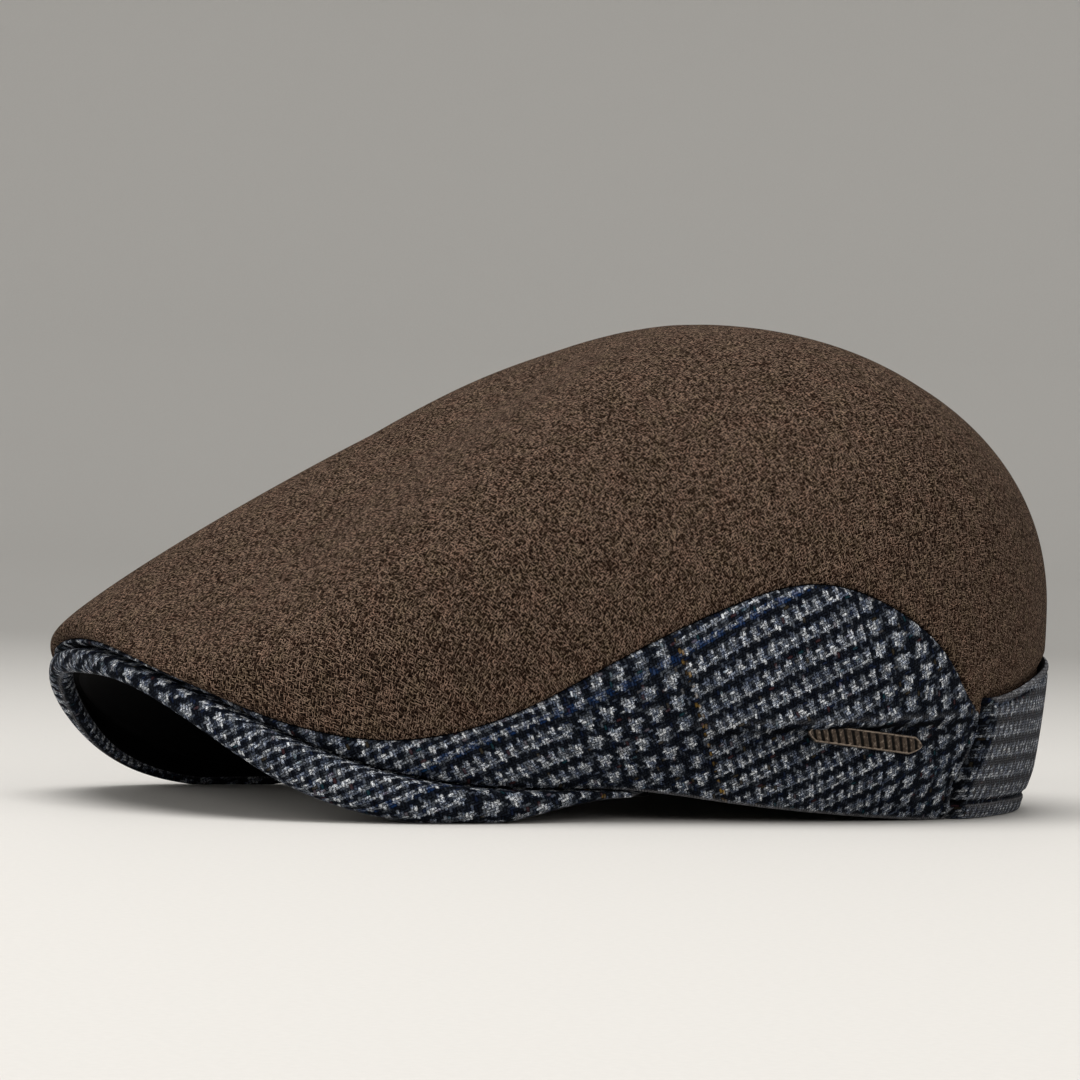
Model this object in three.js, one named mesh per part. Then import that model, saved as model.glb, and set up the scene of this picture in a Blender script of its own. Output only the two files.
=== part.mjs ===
// A flat cap: a felted wool crown above a tweed body, an arched peak under its front edge, a turned-up
// tweed band behind, and a slim metal bar on the left side.
// Millimetres, +Z up. The cap's front faces -Y and its left side is +X. The origin is in the middle of
// its footprint, on the surface that it rests on. An azimuth is in degrees about the crown's axis,
// 0 at the front, positive towards the left side and 180 at the back.
import * as THREE from 'three';

// ---- driving dimensions ----
const apexHeight = 129.8;   // highest point of the crown
const axisY = 33.45;        // where the crown's axis stands
const cloth = 2;            // wool or tweed with its backing
const gap = 0.4;            // clearance between neighbouring pieces
const notchFront = 117.4;   // azimuth where each side panel ends
const notchMargin = 0.4;    // the crown's edge drops this many degrees behind the panel
const bandStart = 119.2;    // azimuth where the band begins
const hiddenEdge = 5;       // the crown's lower edge behind the band
const bandStandOff = 0.6;   // the band lies over the crown's lower edge
const peakEnd = 58;         // azimuth of the peak's tips
const peakBoard = 3.2;      // thickness of the covered board
const liningCloth = 1;
const head = { centreY: 29.75, halfLength: 101, halfWidth: 79, tipAngle: 68, archTop: 46, archDrop: 39 };
const bar = { azimuth: 95.5, height: 21.6, length: 34, width: 4.8, thickness: 1.3, standOff: 1, fall: 0.11 };

// Each row is one upright section of the body, from its rim out to its bulge and in to the apex.
// shoulder lifts the curve above the bulge, and reach is how far out the flat top starts. What would lie
// below zero is pressed flat by the surface that the cap rests on.
const sectionColumns = [
  'azimuth', 'rimRadius', 'rimHeight', 'bulgeRadius', 'bulgeHeight', 'shoulder', 'reach',
];
const sections = [
  [0, 168.4, 40, 171.4, 45.4, 0.078, 0.26],
  [18, 164.8, 31, 167.2, 34.5, 0.14, 0.235],
  [36, 139, 12, 142, 39, 0.36, 0.35],
  [54, 97.5, 8, 113, 38, 0.49, 0.46],
  [72, 87, 5, 100.5, 40, 0.53, 0.51],
  [96, 83, 1.5, 98.5, 42, 0.67, 0.61],
  [120, 86, -0.4, 99, 49, 0.75, 0.58],
  [150, 92.5, -0.4, 99.5, 55, 0.64, 0.53],
  [180, 98.5, -0.4, 102, 55.5, 0.67, 0.62],
].map((row) => Object.fromEntries(row.map((value, column) => [sectionColumns[column], value])));

// Height of the seam between the crown and a side panel.
const seam = [
  { azimuth: 0, height: 41.9 },
  { azimuth: 12, height: 37.5 },
  { azimuth: 24, height: 26 },
  { azimuth: 35, height: 20 },
  { azimuth: 44, height: 25 },
  { azimuth: 56, height: 39.3 },
  { azimuth: 70, height: 52.8 },
  { azimuth: 86, height: 60.4 },
  { azimuth: 100, height: 53.4 },
  { azimuth: 110, height: 41.2 },
  { azimuth: 118, height: 27.5 },
];

const bandTop = [
  { azimuth: 119, height: 32 },
  { azimuth: 135, height: 36 },
  { azimuth: 152, height: 41 },
  { azimuth: 180, height: 44 },
];

// The peak's rolled edge: how far it stands out past the body's rim, and the height of its underside.
const peakEdge = [
  { azimuth: 0, overhang: 2.4, underside: 33.2 },
  { azimuth: 8, overhang: 2.5, underside: 32.1 },
  { azimuth: 14, overhang: 2.8, underside: 27.9 },
  { azimuth: 20, overhang: 3.3, underside: 19.9 },
  { azimuth: 26, overhang: 3.8, underside: 10 },
  { azimuth: 32, overhang: 4.3, underside: 3 },
  { azimuth: 38, overhang: 4.5, underside: -0.3 },
  { azimuth: 43, overhang: 3.8, underside: -0.3 },
  { azimuth: 50, overhang: 2, underside: 3.8 },
  { azimuth: 58, overhang: 0.4, underside: 5.9 },
];

// A fold along each side: cloth pulled in under a soft lip. height is the lip's height at the middle
// azimuth, and rise is what it gains for each degree towards the back.
const sideFold = {
  azimuth: 93, halfSpan: 27, height: 25, rise: 0.07, depth: 2.6, reach: 11, onset: 2.5, lift: 0.8,
};

// ---- small helpers ----
const radians = THREE.MathUtils.degToRad;
const lerp = THREE.MathUtils.lerp;
const clamp = THREE.MathUtils.clamp;
const smoothstep = THREE.MathUtils.smoothstep;

function bezier(p0, p1, p2, p3, t) {
  const s = 1 - t;
  return p0 * s ** 3 + 3 * p1 * s * s * t + 3 * p2 * s * t * t + p3 * t ** 3;
}

// A smooth curve through one column of a table, level at both ends: the usual cubic spline, whose
// slopes come from a tridiagonal system.
function curveThrough(table, column) {
  const x = table.map((row) => row.azimuth);
  const y = table.map((row) => row[column]);
  const last = x.length - 1;
  const upper = [0];
  const slope = [0];
  for (let i = 1; i < last; i++) {
    const before = x[i] - x[i - 1];
    const after = x[i + 1] - x[i];
    const pull = 3 * ((y[i] - y[i - 1]) * after / before + (y[i + 1] - y[i]) * before / after);
    const pivot = 2 * (before + after) - after * upper[i - 1];
    upper.push(before / pivot);
    slope.push((pull - after * slope[i - 1]) / pivot);
  }
  slope.push(0);
  for (let i = last - 1; i > 0; i--) slope[i] -= upper[i] * slope[i + 1];
  return (azimuth) => {
    const a = clamp(Math.abs(azimuth), x[0], x[last]);
    let i = 0;
    while (i < last - 1 && a > x[i + 1]) i++;
    const width = x[i + 1] - x[i];
    const t = (a - x[i]) / width;
    const start = y[i] + slope[i] * width / 3;
    const end = y[i + 1] - slope[i + 1] * width / 3;
    return bezier(y[i], start, end, y[i + 1], t);
  };
}

const sectionCurves = {};
for (const column of sectionColumns.slice(1)) sectionCurves[column] = curveThrough(sections, column);
const seamHeight = curveThrough(seam, 'height');
const bandHeight = curveThrough(bandTop, 'height');
const edgeOverhang = curveThrough(peakEdge, 'overhang');
const edgeUnderside = curveThrough(peakEdge, 'underside');

// ---- the body's outer surface ----
const bulgeShare = 0.28;   // share of a section's run that lies below its bulge
const levelRun = 0.45;     // the cloth is thickened level below the bulge, and square to its face above this

// Azimuths past the back come round on the other side.
const wrap = (azimuth) => (azimuth > 180 ? azimuth - 360 : azimuth);

function smoothSurface(azimuth, run) {
  const a = wrap(azimuth);
  const s = {};
  for (const column in sectionCurves) s[column] = sectionCurves[column](a);
  let radius, height;
  if (run < bulgeShare) {
    const t = run / bulgeShare;
    const spread = s.bulgeRadius - s.rimRadius;
    const climb = s.bulgeHeight - s.rimHeight;
    radius = bezier(s.rimRadius, s.rimRadius + 0.55 * spread, s.bulgeRadius, s.bulgeRadius, t);
    height = bezier(s.rimHeight, s.rimHeight + 0.3 * climb, s.rimHeight + 0.62 * climb, s.bulgeHeight, t);
  } else {
    const t = (run - bulgeShare) / (1 - bulgeShare);
    const climb = apexHeight - s.bulgeHeight;
    radius = bezier(s.bulgeRadius, s.bulgeRadius, s.bulgeRadius * s.reach, 0, t);
    height = bezier(s.bulgeHeight, s.bulgeHeight + s.shoulder * climb, apexHeight, apexHeight, t);
  }
  const turn = radians(a);
  return new THREE.Vector3(radius * Math.sin(turn), axisY - radius * Math.cos(turn), Math.max(height, 0));
}

// The level direction out of the rim at an azimuth.
function rimOutward(azimuth) {
  const along = smoothSurface(azimuth + 0.5, 0).sub(smoothSurface(azimuth - 0.5, 0));
  return new THREE.Vector3(along.y, -along.x, 0).normalize();
}

function outwardNormal(azimuth, run) {
  if (run > 0.995) return new THREE.Vector3(0, 0, 1);
  if (run < 0.001) return rimOutward(azimuth);
  const along = smoothSurface(azimuth + 0.5, run).sub(smoothSurface(azimuth - 0.5, run));
  const up = smoothSurface(azimuth, run + 0.002).sub(smoothSurface(azimuth, run - 0.002));
  return along.cross(up).normalize();
}

// The run at which a section reaches a height, by halving.
function runAtHeight(azimuth, height) {
  let low = 0;
  let high = 1;
  for (let i = 0; i < 30; i++) {
    const middle = (low + high) / 2;
    if (smoothSurface(azimuth, middle).z < height) low = middle;
    else high = middle;
  }
  return (low + high) / 2;
}

// How far the side fold draws the cloth in; negative on the lip above it.
function foldDepth(azimuth, height) {
  const f = sideFold;
  const away = Math.abs(Math.abs(wrap(azimuth)) - f.azimuth) / f.halfSpan;
  if (away >= 1) return 0;
  const strength = Math.cos(away * Math.PI / 2) ** 2;
  const below = f.height + f.rise * (Math.abs(wrap(azimuth)) - f.azimuth) - height;
  const drawnIn = smoothstep(below, 0, f.onset) * (1 - smoothstep(below, f.onset, f.reach));
  const lip = Math.exp(-(((below + f.onset) / f.onset) ** 2));
  return strength * (f.depth * drawnIn - f.lift * lip);
}

// A point of the cloth, moved in by inset, or out where inset is negative. It moves level up to the
// bulge, so that the bottom edge stays flat, and square to the surface above levelRun.
function clothPoint(azimuth, run, inset) {
  const point = smoothSurface(azimuth, run);
  const normal = outwardNormal(azimuth, run);
  normal.setZ(normal.z * smoothstep(run, bulgeShare, levelRun)).normalize();
  return point.addScaledVector(normal, -inset - foldDepth(azimuth, point.z));
}

// ---- solids ----
// A closed wall from a grid of point pairs, { outer, inner }: columns run round the cap and rows climb.
// A closed ring of columns ends in one point at the apex; an open one gets edges all round.
function wallGeometry(columns, isRing) {
  const rows = columns[0].length;
  const count = columns.length;
  const positions = [];
  for (const side of ['outer', 'inner']) {
    for (const column of columns) for (const pair of column) positions.push(...pair[side].toArray());
  }
  const outer = (i, j) => (i % count) * rows + j;
  const inner = (i, j) => count * rows + outer(i, j);
  const index = [];
  const quad = (a, b, c, d) => index.push(a, b, c, a, c, d);
  const spans = isRing ? count : count - 1;
  for (let i = 0; i < spans; i++) {
    for (let j = 0; j < rows - 1; j++) {
      quad(outer(i, j), outer(i + 1, j), outer(i + 1, j + 1), outer(i, j + 1));
      quad(inner(i, j), inner(i, j + 1), inner(i + 1, j + 1), inner(i + 1, j));
    }
    quad(outer(i, 0), inner(i, 0), inner(i + 1, 0), outer(i + 1, 0));
    if (!isRing) quad(outer(i, rows - 1), outer(i + 1, rows - 1), inner(i + 1, rows - 1), inner(i, rows - 1));
  }
  if (!isRing) {
    for (let j = 0; j < rows - 1; j++) {
      quad(outer(0, j), outer(0, j + 1), inner(0, j + 1), inner(0, j));
      quad(outer(spans, j), inner(spans, j), inner(spans, j + 1), outer(spans, j + 1));
    }
  }
  const geometry = new THREE.BufferGeometry();
  geometry.setAttribute('position', new THREE.Float32BufferAttribute(positions, 3));
  geometry.setIndex(index);
  return geometry;
}

// Evenly spaced azimuths from one value to another, both included.
function spread(from, to, step) {
  const count = Math.max(1, Math.round(Math.abs(to - from) / step));
  return Array.from({ length: count + 1 }, (_, i) => lerp(from, to, i / count));
}

const frontStep = 4;
const sideStep = 6;
// Neighbouring pieces share their columns, so that their edges run side by side. Over the peak the
// columns stand closer.
const frontAzimuths = spread(0, peakEnd, frontStep);
const sideAzimuths = [...frontAzimuths, ...spread(peakEnd, notchFront, sideStep).slice(1)];
const acrossFront = [...frontAzimuths.slice(1).reverse().map((azimuth) => -azimuth), ...frontAzimuths];
const acrossBack = spread(bandStart, 360 - bandStart, sideStep);

// A panel of the body between two curves of heights, seen as rows of runs.
function bodyWall(azimuths, lowRun, highRun, shares, outset, isRing = false) {
  const columns = azimuths.map((azimuth) => {
    const low = lowRun(azimuth);
    const high = highRun(azimuth);
    return shares.map((share) => {
      const run = lerp(low, high, share);
      return {
        outer: clothPoint(azimuth, run, -outset),
        inner: clothPoint(azimuth, run, cloth - outset),
      };
    });
  });
  return wallGeometry(columns, isRing);
}

function crownGeometry() {
  const half = [...sideAzimuths, notchFront + notchMargin, notchFront + 2 * notchMargin];
  const otherHalf = half.slice(1).reverse().map((azimuth) => 360 - azimuth);
  const lowRun = (azimuth) => {
    const side = Math.abs(wrap(azimuth));
    const isHidden = side > notchFront + 1.5 * notchMargin;
    return runAtHeight(azimuth, isHidden ? hiddenEdge : seamHeight(side) + gap / 2);
  };
  const shares = spread(0, 1, 1 / 13);
  return bodyWall([...half, ...acrossBack, ...otherHalf], lowRun, () => 1, shares, 0, true);
}

// side is +1 for the left panel and -1 for the right one.
function sidePanelGeometry(side) {
  const startAzimuth = 0.06;   // leaves the clearance between the two panels at the front
  const azimuths = [startAzimuth, ...sideAzimuths.slice(1)].map((azimuth) => side * azimuth);
  if (side < 0) azimuths.reverse();
  const highRun = (azimuth) => runAtHeight(azimuth, seamHeight(azimuth) - gap / 2);
  return bodyWall(azimuths, () => 0, highRun, [0, 0.13, 0.26, 0.36, 0.43, 0.5, 0.6, 0.8, 1], 0);
}

function bandGeometry() {
  const highRun = (azimuth) => runAtHeight(azimuth, bandHeight(wrap(azimuth)));
  return bodyWall(acrossBack, () => 0, highRun, spread(0, 1, 0.2), bandStandOff + cloth);
}

// The peak's back edge, an arc of the head opening that arches over the forehead.
function openingEdge(azimuth) {
  const turn = radians(azimuth * head.tipAngle / peakEnd);
  const x = head.halfWidth * Math.sin(turn);
  const y = head.centreY - head.halfLength * Math.cos(turn);
  const tipX = head.halfWidth * Math.sin(radians(head.tipAngle));
  return new THREE.Vector3(x, y, head.archTop - head.archDrop * (x / tipX) ** 2);
}

const rollInset = 3.5;   // where the rolled edge ends and the plain board starts
const rollBoard = 4;     // the board's thickness there, with the cloth turned under it
const thinEdge = 1.2;    // the least thickness, at the peak's tips

// One section of the peak, from its rolled edge in to the head opening.
function peakSection(azimuth) {
  const rim = smoothSurface(azimuth, 0);
  const outward = rimOutward(azimuth);
  const overhang = edgeOverhang(azimuth);
  const top = rim.z - gap;
  const bottom = Math.max(edgeUnderside(azimuth), 0);
  const depth = top - bottom;
  const at = (out, height) => rim.clone().addScaledVector(outward, out).setZ(height);
  const boardHere = Math.min(peakBoard, Math.max(thinEdge, depth));
  const rollHere = Math.min(rollBoard, Math.max(thinEdge, depth));
  const section = [
    { outer: at(overhang, top - 0.4 * depth), inner: at(overhang, top - 0.6 * depth) },
    { outer: at(0.8 * overhang, top - 0.15 * depth), inner: at(0.8 * overhang, top - 0.87 * depth) },
    { outer: at(0.3 * overhang, top), inner: at(0.35 * overhang, bottom) },
    { outer: at(-1.2, top), inner: at(-1.2, bottom) },
    { outer: at(-rollInset, top), inner: at(-rollInset, top - rollHere) },
  ];
  const start = at(-rollInset, top);
  const end = openingEdge(azimuth);
  const drop = new THREE.Vector3(0, 0, -1);
  for (const share of spread(0.25, 1, 0.25)) {
    const outer = start.clone().lerp(end, share);
    section.push({ outer, inner: outer.clone().addScaledVector(drop, lerp(rollHere, boardHere, share)) });
  }
  return section;
}

function peakGeometry() {
  const columns = acrossFront.map(peakSection);
  return wallGeometry(columns, false);
}

// A thin facing under the board, from the roll to the head opening.
function liningGeometry() {
  const liningEnd = 50;
  const columns = acrossFront.filter((azimuth) => Math.abs(azimuth) < liningEnd).map((azimuth) => (
    peakSection(azimuth).slice(4).map(({ inner }, row) => {
      const down = row === 0 ? gap + 0.4 : gap;
      const outer = inner.clone().setZ(inner.z - down);
      return { outer, inner: outer.clone().setZ(outer.z - liningCloth) };
    })
  ));
  return wallGeometry(columns, false);
}

// The bar on the left side: a slim plate bent to the panel, with rounded ends.
function barGeometry() {
  const radius = smoothSurface(bar.azimuth, runAtHeight(bar.azimuth, bar.height));
  const reach = Math.hypot(radius.x, radius.y - axisY);
  const degrees = THREE.MathUtils.radToDeg(bar.length / 2 / reach);
  const steps = 12;
  const bluntEnd = 0.3;   // what is left of the width at each end
  const columns = [];
  for (let i = 0; i <= steps; i++) {
    const along = -Math.cos(Math.PI * i / steps);
    const azimuth = bar.azimuth + degrees * along;
    const middle = bar.height - bar.fall * along * bar.length / 2;
    const pastStraight = (Math.abs(along) * bar.length - (bar.length - bar.width)) / bar.width;
    const roundEnd = Math.sqrt(1 - clamp(pastStraight, 0, 1) ** 2);
    const half = bar.width / 2 * Math.max(bluntEnd, roundEnd);
    columns.push([-1, -0.5, 0.5, 1].map((share) => {
      const run = runAtHeight(azimuth, middle + half * share);
      const edge = Math.abs(share) === 1 ? 0.4 : 0;
      return {
        outer: clothPoint(azimuth, run, -bar.standOff - bar.thickness + edge),
        inner: clothPoint(azimuth, run, -bar.standOff),
      };
    }));
  }
  return wallGeometry(columns, false);
}

// ---- the cap ----
const brownWool = new THREE.MeshStandardMaterial({ color: 0x4a3b31, roughness: 0.95 });
const greyTweed = new THREE.MeshStandardMaterial({ color: 0x383738, roughness: 0.95 });
const blackCotton = new THREE.MeshStandardMaterial({ color: 0x0e0e10, roughness: 0.9 });
const darkBronze = new THREE.MeshStandardMaterial({ color: 0x5a4c40, roughness: 0.35, metalness: 1 });

const pieces = [
  ['crown_top', crownGeometry(), brownWool],
  ['side_panel_left', sidePanelGeometry(1), greyTweed],
  ['side_panel_right', sidePanelGeometry(-1), greyTweed],
  ['back_band', bandGeometry(), greyTweed],
  ['peak', peakGeometry(), greyTweed],
  ['peak_lining', liningGeometry(), blackCotton],
  ['side_bar', barGeometry(), darkBronze],
];

const cap = new THREE.Group();
for (const [name, geometry, material] of pieces) {
  const mesh = new THREE.Mesh(geometry, material);
  mesh.name = name;
  cap.add(mesh);
}

export default cap;
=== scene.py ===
import math

import bmesh
import bpy
import numpy as np
from mathutils import Matrix, Vector


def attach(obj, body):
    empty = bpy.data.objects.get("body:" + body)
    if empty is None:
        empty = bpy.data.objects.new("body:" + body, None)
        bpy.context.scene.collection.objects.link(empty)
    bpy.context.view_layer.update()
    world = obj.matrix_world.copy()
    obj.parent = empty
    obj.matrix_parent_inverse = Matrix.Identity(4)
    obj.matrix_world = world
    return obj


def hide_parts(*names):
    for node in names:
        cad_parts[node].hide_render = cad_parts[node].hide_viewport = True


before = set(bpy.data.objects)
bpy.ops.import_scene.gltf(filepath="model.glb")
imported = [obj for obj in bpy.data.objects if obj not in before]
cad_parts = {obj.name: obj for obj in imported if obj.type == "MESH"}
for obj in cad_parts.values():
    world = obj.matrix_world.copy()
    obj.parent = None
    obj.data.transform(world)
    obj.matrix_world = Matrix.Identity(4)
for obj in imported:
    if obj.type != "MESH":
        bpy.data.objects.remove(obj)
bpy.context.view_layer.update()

MM = 0.001

# ---- shape of the body ----
# The sizes and tables are the part's own, but for a deeper side fold and a slightly lower band behind.
APEX_HEIGHT = 129.8
AXIS_Y = 33.45
CLOTH = 2.0
NOTCH = 117.4          # azimuth where a side panel ends
BAND_STAND_OFF = 1.4   # how far the band stands proud of the crown
PEAK_END = 58.0
BOARD = 3.2            # thickness of the peak's covered board
BULGE_SHARE = 0.28     # share of a section's run that lies below its bulge
LEVEL_RUN = 0.45       # the cloth is thickened level below its bulge, and square to its face above this run
JOIN = 0.01            # vertices closer than this are one

# A fold along each side: cloth pulled in under a soft lip, whose height is given at the middle azimuth.
FOLD_AZIMUTH = 93.0
FOLD_HALF_SPAN = 30.0
FOLD_HEIGHT = 25.0
FOLD_RISE = 0.07       # what the lip gains for each degree towards the back
FOLD_DEPTH = 4.2
FOLD_REACH = 13.0
FOLD_ONSET = 1.6
FOLD_LIFT = 1.8

# azimuth, rim radius, rim height, bulge radius, bulge height, shoulder, reach
SECTIONS = (
    (0, 168.4, 40, 171.4, 45.4, 0.078, 0.26),
    (18, 164.8, 31, 167.2, 34.5, 0.14, 0.235),
    (36, 139, 12, 142, 39, 0.36, 0.35),
    (54, 97.5, 8, 113, 38, 0.49, 0.46),
    (72, 87, 5, 100.5, 40, 0.53, 0.51),
    (96, 83, 1.5, 98.5, 42, 0.67, 0.61),
    (120, 86, -0.4, 99, 49, 0.75, 0.58),
    (150, 92.5, -0.4, 99.5, 55, 0.64, 0.53),
    (180, 98.5, -0.4, 102, 55.5, 0.67, 0.62),
)
# azimuth, height of the crown's lower edge; past the notch it lies behind the band
CROWN_EDGE = (
    (0, 41.9), (12, 37.5), (24, 26), (35, 20), (44, 25), (56, 39.3), (70, 52.8), (86, 60.4),
    (100, 53.4), (110, 41.2), (118, 27.5), (124, 24.5), (135, 27), (152, 32), (180, 36),
)
# azimuth, height
BAND_TOP = ((119, 32), (135, 36), (152, 40.2), (180, 43.5))
# azimuth, overhang past the rim, height of the rolled edge's underside
PEAK_EDGE = (
    (0, 2.4, 33.2), (8, 2.5, 32.1), (14, 2.8, 27.9), (20, 3.3, 19.9), (26, 3.8, 10), (32, 4.3, 3),
    (38, 4.5, -0.3), (43, 3.8, -0.3), (50, 2, 3.8), (58, 0.4, 5.9),
)


def curve_through(table, column):
    """A cubic spline through one column of a table, level at both ends."""
    x = np.array([row[0] for row in table], float)
    y = np.array([row[column] for row in table], float)
    width = np.diff(x)
    pull = np.zeros(len(x))
    system = np.eye(len(x))
    for i in range(1, len(x) - 1):
        before, after = width[i - 1], width[i]
        system[i, i - 1:i + 2] = after, 2 * (before + after), before
        pull[i] = 3 * ((y[i] - y[i - 1]) * after / before + (y[i + 1] - y[i]) * before / after)
    slope = np.linalg.solve(system, pull)

    def curve(azimuth):
        a = np.clip(np.abs(azimuth), x[0], x[-1])
        i = np.clip(np.searchsorted(x, a, side="right") - 1, 0, len(width) - 1)
        start = y[i] + slope[i] * width[i] / 3
        end = y[i + 1] - slope[i + 1] * width[i] / 3
        return bezier(y[i], start, end, y[i + 1], (a - x[i]) / width[i])

    return curve


def bezier(p0, p1, p2, p3, t):
    """A place on a cubic curve with four control values."""
    s = 1 - t
    return p0 * s ** 3 + 3 * p1 * s * s * t + 3 * p2 * s * t * t + p3 * t ** 3


def smoothstep(value, low, high):
    """0 at low and 1 at high, level at both."""
    t = np.clip((value - low) / (high - low), 0, 1)
    return t * t * (3 - 2 * t)


RIM_RADIUS, RIM_HEIGHT, BULGE_RADIUS, BULGE_HEIGHT, SHOULDER, REACH = (
    curve_through(SECTIONS, column) for column in range(1, 7)
)
crown_edge_height = curve_through(CROWN_EDGE, 1)
band_height = curve_through(BAND_TOP, 1)
edge_overhang = curve_through(PEAK_EDGE, 1)
edge_underside = curve_through(PEAK_EDGE, 2)


def wrapped(azimuth):
    """The same azimuth between -180 and 180."""
    return (np.asarray(azimuth, float) + 180) % 360 - 180


def surface(azimuth, run):
    """The body's outer surface: run is 0 at the rim and 1 at the apex."""
    a = wrapped(azimuth)
    rim, low, bulge, middle = RIM_RADIUS(a), RIM_HEIGHT(a), BULGE_RADIUS(a), BULGE_HEIGHT(a)
    below = np.clip(run / BULGE_SHARE, 0, 1)
    above = np.clip((run - BULGE_SHARE) / (1 - BULGE_SHARE), 0, 1)
    climb, rise = middle - low, APEX_HEIGHT - middle
    under = run < BULGE_SHARE
    radius = np.where(
        under,
        bezier(rim, rim + 0.55 * (bulge - rim), bulge, bulge, below),
        bezier(bulge, bulge, bulge * REACH(a), 0, above),
    )
    height = np.where(
        under,
        bezier(low, low + 0.3 * climb, low + 0.62 * climb, middle, below),
        bezier(middle, middle + SHOULDER(a) * rise, APEX_HEIGHT, APEX_HEIGHT, above),
    )
    turn = np.radians(a)
    level = (radius * np.sin(turn), AXIS_Y - radius * np.cos(turn))
    return np.stack((*level, np.maximum(height, 0)), -1)


def outward(azimuth, run):
    """The unit normal of the outer surface, turned level below the bulge."""
    along = surface(azimuth + 0.5, run) - surface(azimuth - 0.5, run)
    climb = surface(azimuth, np.minimum(run + 0.002, 1)) - surface(azimuth, np.maximum(run - 0.002, 0))
    normal = np.cross(along, climb)
    level = np.stack((along[..., 1], -along[..., 0], 0 * run), -1)
    normal = np.where((run < 0.001)[..., None], level, normal)
    normal = np.where((run > 0.995)[..., None], (0, 0, 1.0), normal)
    normal /= np.linalg.norm(normal, axis=-1, keepdims=True)
    normal[..., 2] *= smoothstep(run, BULGE_SHARE, LEVEL_RUN)
    return normal / np.linalg.norm(normal, axis=-1, keepdims=True)


def halved(low, high, rounds, falls_short):
    """The runs between low and high up to which falls_short is true, by halving."""
    for _ in range(rounds):
        middle = (low + high) / 2
        short = falls_short(middle)
        low, high = np.where(short, middle, low), np.where(short, high, middle)
    return (low + high) / 2


def run_at(azimuth, height):
    """The run at which a section reaches a height."""
    azimuth, height = np.broadcast_arrays(np.asarray(azimuth, float), np.asarray(height, float))
    low, high = np.zeros(azimuth.shape), np.ones(azimuth.shape)
    return halved(low, high, 26, lambda run: surface(azimuth, run)[..., 2] < height)


def from_fold(azimuth, height):
    """How far a place is along the side fold, 0 in its middle and 1 past its ends, and how far below it."""
    side = np.abs(wrapped(azimuth))
    away = np.clip(np.abs(side - FOLD_AZIMUTH) / FOLD_HALF_SPAN, 0, 1)
    return away, FOLD_HEIGHT + FOLD_RISE * (side - FOLD_AZIMUTH) - height


def fold_depth(azimuth, height):
    """How far the side fold draws the cloth in; negative on the lip above it."""
    away, below = from_fold(azimuth, height)
    drawn_in = smoothstep(below, 0, FOLD_ONSET) * (1 - smoothstep(below, FOLD_ONSET, FOLD_REACH))
    lip = np.exp(-((below + FOLD_ONSET) / FOLD_ONSET) ** 2)
    return np.cos(away * math.pi / 2) ** 2 * (FOLD_DEPTH * drawn_in - FOLD_LIFT * lip)


def fold_painted_light(azimuth, height):
    """The side fold's painted light: a painted highlight along its lip, and painted shade in the crease and
    below it, under the lip.
    """
    away, below = from_fold(azimuth, height)
    lip = np.exp(-((below + 1.1) / 0.8) ** 2)
    crease = np.exp(-((below - 0.7) / 1.2) ** 2)
    pocket = smoothstep(below, 0, 1.5) * (1 - smoothstep(below, 4, FOLD_REACH))
    return np.sin((1 - away) * math.pi / 2) ** 0.7 * (0.3 * lip - np.maximum(0.9 * crease, 0.36 * pocket))


def cloth_point(azimuth, run, inset):
    """A point of the cloth, moved in by inset, or out where inset is negative."""
    point = surface(azimuth, run)
    inward = inset + fold_depth(azimuth, point[..., 2])
    return point - outward(azimuth, run) * inward[..., None]


def distance_along(points, axis):
    """Distance run along each line of a grid of points, starting at 0."""
    steps = np.linalg.norm(np.diff(points, axis=axis), axis=-1)
    start = np.zeros_like(np.take(steps, [0], axis))
    return np.concatenate((start, np.cumsum(steps, axis)), axis)


def rounded(distance, radius):
    """Share of the full thickness at a distance from an edge rounded to a radius."""
    return np.sqrt(1 - (1 - np.clip(distance / radius, 0, 1)) ** 2)


# ---- mesh building ----
def laid_grid(bm, points, cloth_map, painted_light_and_wear=None, flip=False, material=0):
    """Adds a grid to bm and lays its vertices on points (rows, columns, 3), with the cloth's own map.

    The measure of painted light and wear gives a painted highlight along folded edges and lips and painted
    light over the band, up to 1, and painted shade in creases, stitch rows and where one piece runs behind
    another, down to -1; on the bronze bar it is the height of the relief; material is one number, or one
    for each row.
    """
    rows, columns = points.shape[0] - 1, points.shape[1] - 1
    made = bmesh.ops.create_grid(bm, x_segments=columns, y_segments=rows, size=0.5)
    seat = {}
    for vertex in made["verts"]:
        row = round((vertex.co.y + 0.5) * rows)
        column = round((vertex.co.x + 0.5) * columns)
        seat[vertex] = (row, column)
        vertex.co = points[row, column] * MM
        if painted_light_and_wear is not None:
            vertex[bm.verts.layers.float["painted_light_and_wear"]] = painted_light_and_wear[row, column]
    faces = list({face for vertex in made["verts"] for face in vertex.link_faces})
    layer = bm.loops.layers.uv["cloth"]
    row_material = np.broadcast_to(material, rows + 1)
    for face in faces:
        face.smooth = True
        face.material_index = int(row_material[min(seat[vertex][0] for vertex in face.verts)])
        for loop in face.loops:
            loop[layer].uv = cloth_map[seat[loop.vert]]
    if flip:
        bmesh.ops.reverse_faces(bm, faces=faces)


def new_cloth_mesh():
    """A mesh under construction, with the cloth's map and the measure of painted light and wear."""
    bm = bmesh.new()
    bm.loops.layers.uv.new("cloth")
    bm.verts.layers.float.new("painted_light_and_wear")
    return bm


def placed(name, data):
    """An object of the scene with this data."""
    thing = bpy.data.objects.new(name, data)
    bpy.context.scene.collection.objects.link(thing)
    return thing


def placed_mesh(bm, name, materials):
    """The object that a mesh under construction becomes."""
    mesh = bpy.data.meshes.new(name)
    bm.to_mesh(mesh)
    bm.free()
    for material in materials:
        mesh.materials.append(material)
    return placed(name, mesh)


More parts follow.
